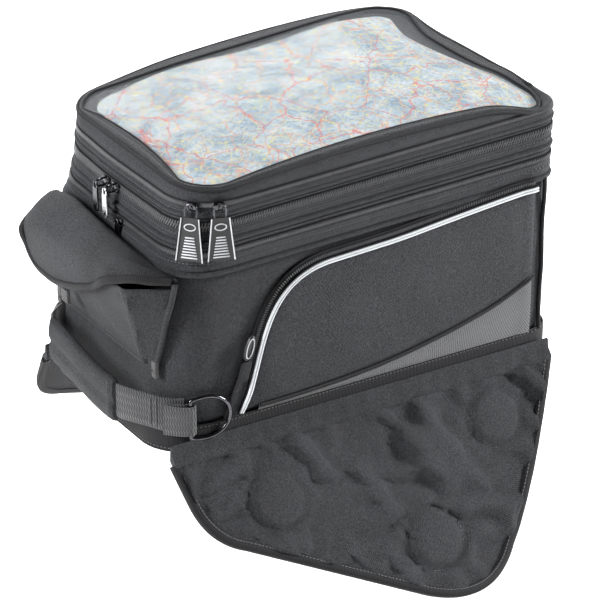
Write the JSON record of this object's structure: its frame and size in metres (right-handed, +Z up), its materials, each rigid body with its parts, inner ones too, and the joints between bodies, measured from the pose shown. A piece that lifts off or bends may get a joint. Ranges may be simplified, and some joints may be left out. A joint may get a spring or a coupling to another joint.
{
  "type": "motorcycle tank bag",
  "caption": "Tank bag for a motorcycle with a map window lid, raising upper section, rear pocket, side pockets and hanging magnet flaps.",
  "frame": {"origin": "centre of the underside of the base panel", "axes": "+X is the riding direction (front), +Z is up, -Y is the right side of the bag"},
  "size_m": [0.4088, 0.4466, 0.4013],
  "materials": {
    "base_rubber": "grippy, pebbled",
    "binding_tape": "grosgrain tape",
    "black_metal": "gloss black",
    "board": "stiff board",
    "bright_metal": "polished",
    "clear_film": "clear soft film",
    "magnet": "plated disc",
    "map_paper": "printed sheet",
    "mesh_cloth": "open mesh over cloth",
    "pull_rubber": "moulded, satin",
    "reflective_piping": "reflective silver",
    "shell_fabric": "woven polyester, matt",
    "webbing": "ribbed webbing",
    "zip_teeth": "coil zip, satin"
  },
  "bodies": {
    "bag": {"base_panel": "base_rubber", "base_band": "binding_tape", "main_shell": "shell_fabric", "floor_board": "board", "lower_band": "shell_fabric", "expansion_zip_lower_teeth": "zip_teeth", "expansion_gusset": "shell_fabric", "rear_pocket_body": "shell_fabric", "rear_pocket_hood": "shell_fabric", "ring_webbing_right": "webbing", "ring_webbing_left": "webbing", "side_pocket_right": "shell_fabric", "pocket_piping_right": "reflective_piping", "pocket_zip_right": "zip_teeth", "mesh_panel_right": "mesh_cloth", "zip_garage_right": "binding_tape", "side_pocket_left": "shell_fabric", "pocket_piping_left": "reflective_piping", "pocket_zip_left": "zip_teeth", "mesh_panel_left": "mesh_cloth", "zip_garage_left": "binding_tape"},
    "upper_section": {"upper_band": "shell_fabric", "expansion_zip_upper_teeth": "zip_teeth", "main_zip_lower_teeth": "zip_teeth"},
    "lid": {"lid_tray": "shell_fabric", "main_zip_upper_teeth": "zip_teeth", "map_zip_lower_teeth": "zip_teeth", "map_sheet": "map_paper"},
    "map_cover": {"cover_frame": "binding_tape", "window_film": "clear_film", "map_zip_upper_teeth": "zip_teeth"},
    "rear_flap": {"rear_pocket_flap": "shell_fabric"},
    "carry_handle": {"handle_webbing": "webbing", "handle_grip": "shell_fabric"},
    "magnet_flap_right": {"flap_cover_right": "shell_fabric", "flap_lining_right": "shell_fabric", "flap_binding_right": "binding_tape", "flap_magnet_right_1": "magnet", "flap_magnet_right_2": "magnet", "flap_magnet_right_3": "magnet"},
    "ring_right": {"d_ring_right": "black_metal"},
    "pocket_slider_right": {"pocket_slider_right": "black_metal"},
    "magnet_flap_left": {"flap_cover_left": "shell_fabric", "flap_lining_left": "shell_fabric", "flap_binding_left": "binding_tape", "flap_magnet_left_1": "magnet", "flap_magnet_left_2": "magnet", "flap_magnet_left_3": "magnet"},
    "ring_left": {"d_ring_left": "black_metal"},
    "pocket_slider_left": {"pocket_slider_left": "black_metal"},
    "map_zip_slider_rear": {"map_zip_slider_rear": "black_metal"},
    "map_zip_slider_side": {"map_zip_slider_side": "black_metal"},
    "map_zip_pull_rear": {"map_zip_pull_rear": "pull_rubber"},
    "map_zip_pull_side": {"map_zip_pull_side": "pull_rubber"},
    "main_zip_slider_left": {"main_zip_slider_left": "black_metal"},
    "main_zip_slider_right": {"main_zip_slider_right": "black_metal"},
    "main_zip_pull_left": {"main_zip_pull_left": "bright_metal"},
    "main_zip_pull_right": {"main_zip_pull_right": "bright_metal"},
    "expansion_zip_slider": {"expansion_zip_slider": "black_metal"},
    "expansion_zip_pull": {"expansion_zip_pull": "black_metal"}
  },
  "joints": [
    {"name": "expansion_raise", "type": "slide", "parent": "bag", "child": "upper_section", "axis": [0, 0, 1], "range_m": [0, 0.05], "deforming": ["expansion_gusset"]},
    {"name": "lid_hinge", "type": "hinge", "parent": "upper_section", "child": "lid", "pos_m": [0.1876, 0, 0.21365], "axis": [0, 1, 0], "range_deg": [0, 100]},
    {"name": "map_cover_hinge", "type": "hinge", "parent": "lid", "child": "map_cover", "pos_m": [0.1876, 0, 0.23286], "axis": [0, 1, 0], "range_deg": [0, 100]},
    {"name": "rear_flap_hinge", "type": "hinge", "parent": "bag", "child": "rear_flap", "pos_m": [-0.194, 0, 0.1736], "axis": [0, 1, 0], "range_deg": [0, 90]},
    {"name": "handle_swing", "type": "hinge", "parent": "bag", "child": "carry_handle", "pos_m": [-0.186, 0, 0.04], "axis": [0, 1, 0], "range_deg": [-12, 12]},
    {"name": "magnet_flap_right_hinge", "type": "hinge", "parent": "bag", "child": "magnet_flap_right", "pos_m": [-0.188, -0.1055, 0], "axis": [-0.9984, 0.0561, 0], "range_deg": [-30, 50]},
    {"name": "magnet_flap_left_hinge", "type": "hinge", "parent": "bag", "child": "magnet_flap_left", "pos_m": [-0.188, 0.1055, 0], "axis": [0.9984, 0.0561, 0], "range_deg": [-30, 50]},
    {"name": "ring_right_pivot", "type": "hinge", "parent": "bag", "child": "ring_right", "pos_m": [-0.166, -0.1035, 0.038], "axis": [0, 0, -1], "range_deg": [0, 140]},
    {"name": "ring_left_pivot", "type": "hinge", "parent": "bag", "child": "ring_left", "pos_m": [-0.166, 0.1035, 0.038], "axis": [0, 0, 1], "range_deg": [0, 140]},
    {"name": "map_slider_rear_travel", "type": "hinge", "parent": "lid", "child": "map_zip_slider_rear", "pos_m": [-0.12384, -0.07019, 0.223], "axis": [0, 0, -1], "range_deg": [0, 17]},
    {"name": "map_slider_side_travel", "type": "hinge", "parent": "lid", "child": "map_zip_slider_side", "pos_m": [-0.12719, -0.07408, 0.223], "axis": [0, 0, 1], "range_deg": [0, 14]},
    {"name": "map_pull_rear_swing", "type": "hinge", "parent": "map_zip_slider_rear", "child": "map_zip_pull_rear", "pos_m": [-0.16067, -0.10155, 0.22335], "axis": [-0.6691, 0.7431, 0], "range_deg": [0, 90]},
    {"name": "map_pull_side_swing", "type": "hinge", "parent": "map_zip_slider_side", "child": "map_zip_pull_side", "pos_m": [-0.14229, -0.1145, 0.22379], "axis": [-0.9397, 0.342, 0], "range_deg": [0, 90]},
    {"name": "main_slider_left_travel", "type": "slide", "parent": "upper_section", "child": "main_zip_slider_left", "axis": [0, 1, 0], "range_m": [0, 0.05]},
    {"name": "main_slider_right_travel", "type": "slide", "parent": "upper_section", "child": "main_zip_slider_right", "axis": [0, -1, 0], "range_m": [0, 0.055]},
    {"name": "main_pull_left_swing", "type": "hinge", "parent": "main_zip_slider_left", "child": "main_zip_pull_left", "pos_m": [-0.18174, 0.012, 0.20477], "axis": [0, 1, 0], "range_deg": [0, 100]},
    {"name": "main_pull_right_swing", "type": "hinge", "parent": "main_zip_slider_right", "child": "main_zip_pull_right", "pos_m": [-0.18174, -0.003, 0.20477], "axis": [0, 1, 0], "range_deg": [0, 100]},
    {"name": "expansion_slider_travel", "type": "slide", "parent": "bag", "child": "expansion_zip_slider", "axis": [0, -1, 0], "range_m": [0, 0.045]},
    {"name": "expansion_pull_swing", "type": "hinge", "parent": "expansion_zip_slider", "child": "expansion_zip_pull", "pos_m": [-0.17752, -0.014, 0.18019], "axis": [0, 1, 0], "range_deg": [0, 90]},
    {"name": "pocket_slider_right_travel", "type": "slide", "parent": "bag", "child": "pocket_slider_right", "axis": [0.1644, -0.0196, 0.9862], "range_m": [0, 0.025]},
    {"name": "pocket_slider_left_travel", "type": "slide", "parent": "bag", "child": "pocket_slider_left", "axis": [0.1644, 0.0196, 0.9862], "range_m": [0, 0.025]}
  ]
}
